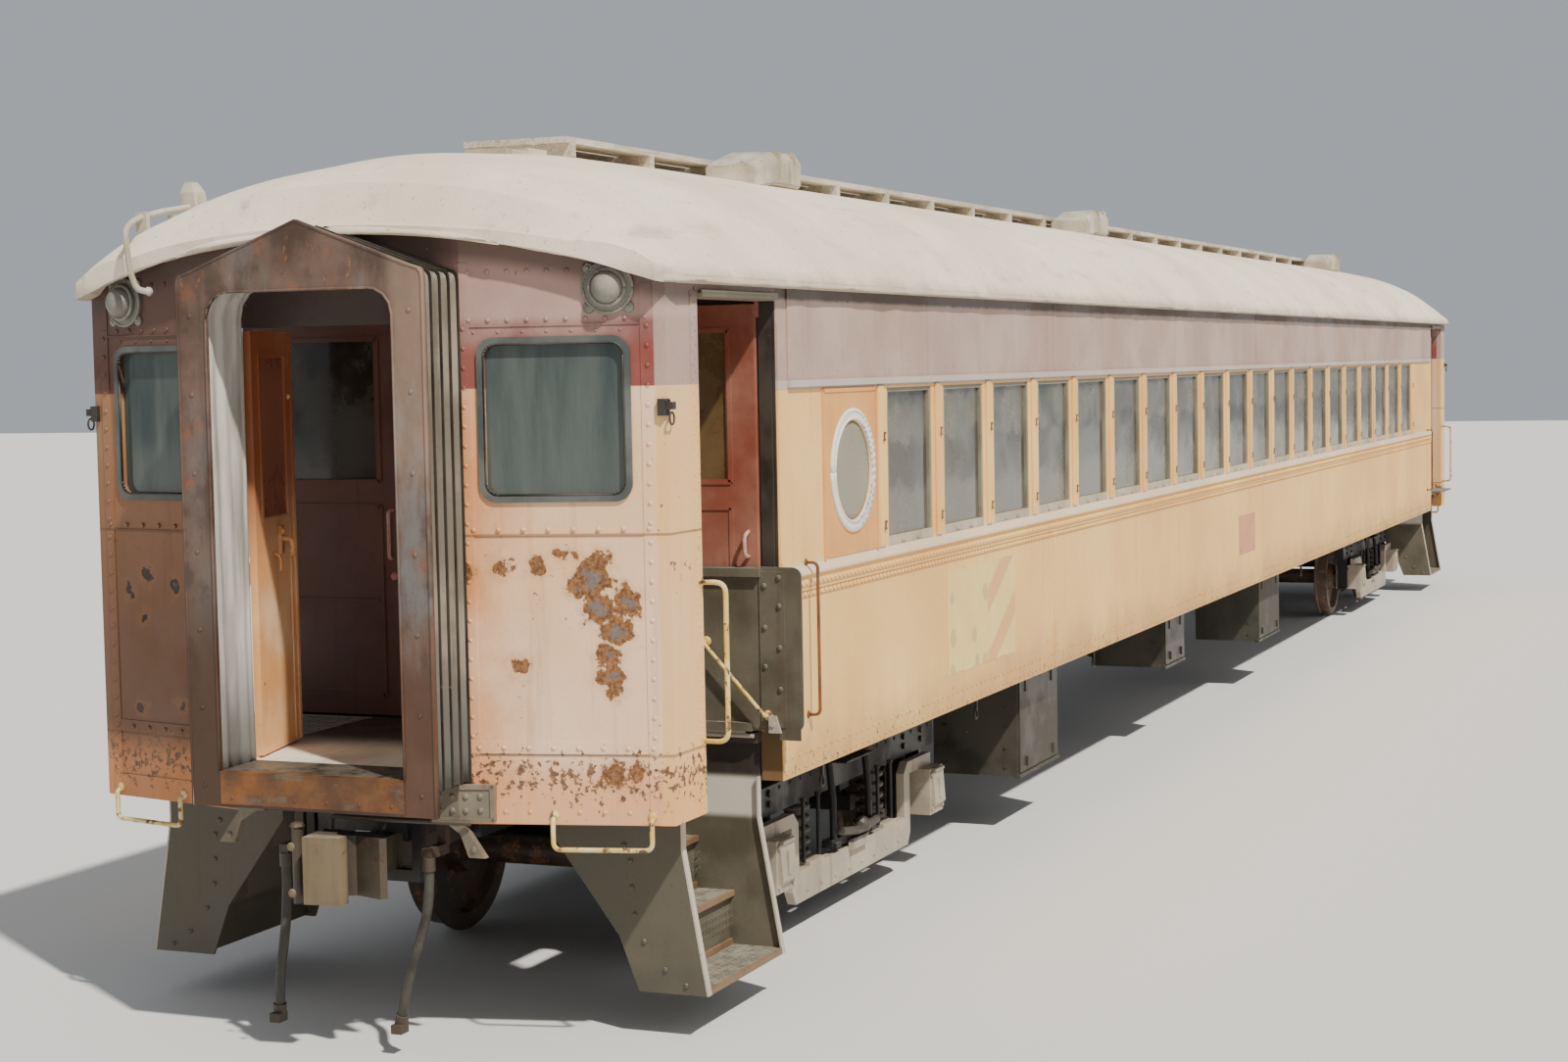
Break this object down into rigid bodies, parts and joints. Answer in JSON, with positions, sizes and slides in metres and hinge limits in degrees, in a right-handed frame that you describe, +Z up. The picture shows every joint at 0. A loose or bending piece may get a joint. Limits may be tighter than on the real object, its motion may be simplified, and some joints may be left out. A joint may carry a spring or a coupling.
{
  "type": "interurban trailer coach",
  "caption": "long riveted steel rail passenger coach with open vestibules, corner steps with traps, a diaphragm at each end and equalised trucks",
  "frame": {"origin": "centre of the car's plan at the height of the flange tips it stands on", "axes": "+X along the car towards the end with the raised trap, +Y to the side with the equipment boxes, +Z up"},
  "size_m": [24.7568, 3.21, 4.2127],
  "materials": {
    "frame_black": "worn black paint over rust",
    "floor_boards": "dirty bare boards",
    "side_paint": "faded orange paint, chalked and stained",
    "end_paint": "faded orange paint with rust",
    "inner_paint": "dull red-brown paint",
    "roof_canvas": "weathered painted canvas",
    "window_glass": "dusty tinted glass",
    "window_gasket": "grey-blue painted frame",
    "white_paint": "chalked white paint",
    "plate_rust": "rusted bare steel",
    "bellows_canvas": "old rubbered canvas on steel frames",
    "coupler_iron": "dark weathered casting",
    "step_steel": "worn dark paint",
    "door_paint": "faded red paint",
    "end_door_paint": "faded orange paint",
    "grab_paint": "chipped yellow paint",
    "walk_boards": "bare grey boards",
    "vent_metal": "dull grey paint",
    "lamp_metal": "dull paint",
    "box_steel": "worn dark paint",
    "seat_leather": "worn",
    "truck_iron": "dirty weathered casting",
    "wheel_steel": "rusty with a bright tread",
    "hose_rubber": "old rubber"
  },
  "bodies": {
    "body": {"underframe": "frame_black", "end_brackets": "frame_black", "floor": "floor_boards", "side_wall_left": "side_paint", "side_wall_right": "side_paint", "end_wall_near": "end_paint", "end_wall_far": "end_paint", "bulkhead_near": "inner_paint", "bulkhead_far": "inner_paint", "roof": "roof_canvas", "side_glass_left": "window_glass", "side_glass_right": "window_glass", "end_glass": "window_glass", "end_window_frames": "window_gasket", "round_window_frames": "white_paint", "diaphragm_plate_near": "plate_rust", "diaphragm_plate_far": "plate_rust", "bellows_near": "bellows_canvas", "bellows_far": "bellows_canvas", "coupler_near": "coupler_iron", "coupler_far": "coupler_iron", "steps_near": "step_steel", "steps_far": "step_steel", "side_door_near_left": "door_paint", "grab_irons": "grab_paint", "roof_walkway": "walk_boards", "roof_ventilators": "vent_metal", "roof_conduit": "vent_metal", "marker_lamps": "lamp_metal", "equipment_boxes": "box_steel", "brake_gear": "frame_black", "seats_left": "seat_leather", "seats_right": "seat_leather", "hose_one": "hose_rubber", "hose_two": "hose_rubber", "hose_cocks": "coupler_iron", "hose_head_one": "coupler_iron", "hose_head_two": "coupler_iron"},
    "truck_near": {"truck_frame_near": "truck_iron", "truck_springs_near": "truck_iron"},
    "truck_far": {"truck_frame_far": "truck_iron", "truck_springs_far": "truck_iron"},
    "wheelset_near_outer": {"wheelset_near_outer": "wheel_steel"},
    "wheelset_near_inner": {"wheelset_near_inner": "wheel_steel"},
    "wheelset_far_outer": {"wheelset_far_outer": "wheel_steel"},
    "wheelset_far_inner": {"wheelset_far_inner": "wheel_steel"},
    "end_door_near_left": {"end_door_near_left": "end_door_paint"},
    "end_door_near_right": {"end_door_near_right": "end_door_paint"},
    "end_door_far_left": {"end_door_far_left": "end_door_paint"},
    "end_door_far_right": {"end_door_far_right": "end_door_paint"},
    "side_door_near_right": {"side_door_near_right": "door_paint"},
    "side_door_far_left": {"side_door_far_left": "door_paint"},
    "side_door_far_right": {"side_door_far_right": "door_paint"},
    "trap_near_left": {"trap_near_left": "step_steel"},
    "trap_near_right": {"trap_near_right": "step_steel"},
    "trap_far_left": {"trap_far_left": "step_steel"},
    "trap_far_right": {"trap_far_right": "step_steel"}
  },
  "joints": [
    {"name": "truck_near_pivot", "type": "hinge", "parent": "body", "child": "truck_near", "pos_m": [8.6, 0, 0.878], "axis": [0, 0, 1], "range_deg": [-6, 6]},
    {"name": "truck_far_pivot", "type": "hinge", "parent": "body", "child": "truck_far", "pos_m": [-8.6, 0, 0.878], "axis": [0, 0, 1], "range_deg": [-6, 6]},
    {"name": "wheelset_near_outer_joint", "type": "hinge", "parent": "truck_near", "child": "wheelset_near_outer", "pos_m": [9.77, 0, 0.448], "axis": [0, 1, 0], "continuous": true},
    {"name": "wheelset_near_inner_joint", "type": "hinge", "parent": "truck_near", "child": "wheelset_near_inner", "pos_m": [7.43, 0, 0.448], "axis": [0, 1, 0], "continuous": true},
    {"name": "wheelset_far_outer_joint", "type": "hinge", "parent": "truck_far", "child": "wheelset_far_outer", "pos_m": [-9.77, 0, 0.448], "axis": [0, 1, 0], "continuous": true},
    {"name": "wheelset_far_inner_joint", "type": "hinge", "parent": "truck_far", "child": "wheelset_far_inner", "pos_m": [-7.43, 0, 0.448], "axis": [0, 1, 0], "continuous": true},
    {"name": "end_door_near_left_joint", "type": "hinge", "parent": "body", "child": "end_door_near_left", "pos_m": [11.89, 0.535, 2.2], "axis": [0, 0, 1], "range_deg": [0, 105]},
    {"name": "end_door_near_right_joint", "type": "hinge", "parent": "body", "child": "end_door_near_right", "pos_m": [11.89, -0.535, 2.2], "axis": [0, 0, -1], "range_deg": [0, 105]},
    {"name": "end_door_far_left_joint", "type": "hinge", "parent": "body", "child": "end_door_far_left", "pos_m": [-11.89, 0.535, 2.2], "axis": [0, 0, -1], "range_deg": [0, 105]},
    {"name": "end_door_far_right_joint", "type": "hinge", "parent": "body", "child": "end_door_far_right", "pos_m": [-11.89, -0.535, 2.2], "axis": [0, 0, 1], "range_deg": [0, 105]},
    {"name": "side_door_near_right_joint", "type": "hinge", "parent": "body", "child": "side_door_near_right", "pos_m": [10.554, -1.38, 2.2], "axis": [0, 0, -1], "range_deg": [0, 90]},
    {"name": "side_door_far_left_joint", "type": "hinge", "parent": "body", "child": "side_door_far_left", "pos_m": [-10.554, 1.38, 2.2], "axis": [0, 0, -1], "range_deg": [0, 90]},
    {"name": "side_door_far_right_joint", "type": "hinge", "parent": "body", "child": "side_door_far_right", "pos_m": [-10.554, -1.38, 2.2], "axis": [0, 0, 1], "range_deg": [0, 90]},
    {"name": "trap_near_left_joint", "type": "hinge", "parent": "body", "child": "trap_near_left", "pos_m": [10.61, 1, 1.238], "axis": [0, 1, 0], "range_deg": [0, 90]},
    {"name": "trap_near_right_joint", "type": "hinge", "parent": "body", "child": "trap_near_right", "pos_m": [10.61, -1, 1.238], "axis": [0, 1, 0], "range_deg": [-90, 0]},
    {"name": "trap_far_left_joint", "type": "hinge", "parent": "body", "child": "trap_far_left", "pos_m": [-10.61, 1, 1.238], "axis": [0, -1, 0], "range_deg": [-90, 0]},
    {"name": "trap_far_right_joint", "type": "hinge", "parent": "body", "child": "trap_far_right", "pos_m": [-10.61, -1, 1.238], "axis": [0, -1, 0], "range_deg": [-90, 0]}
  ]
}
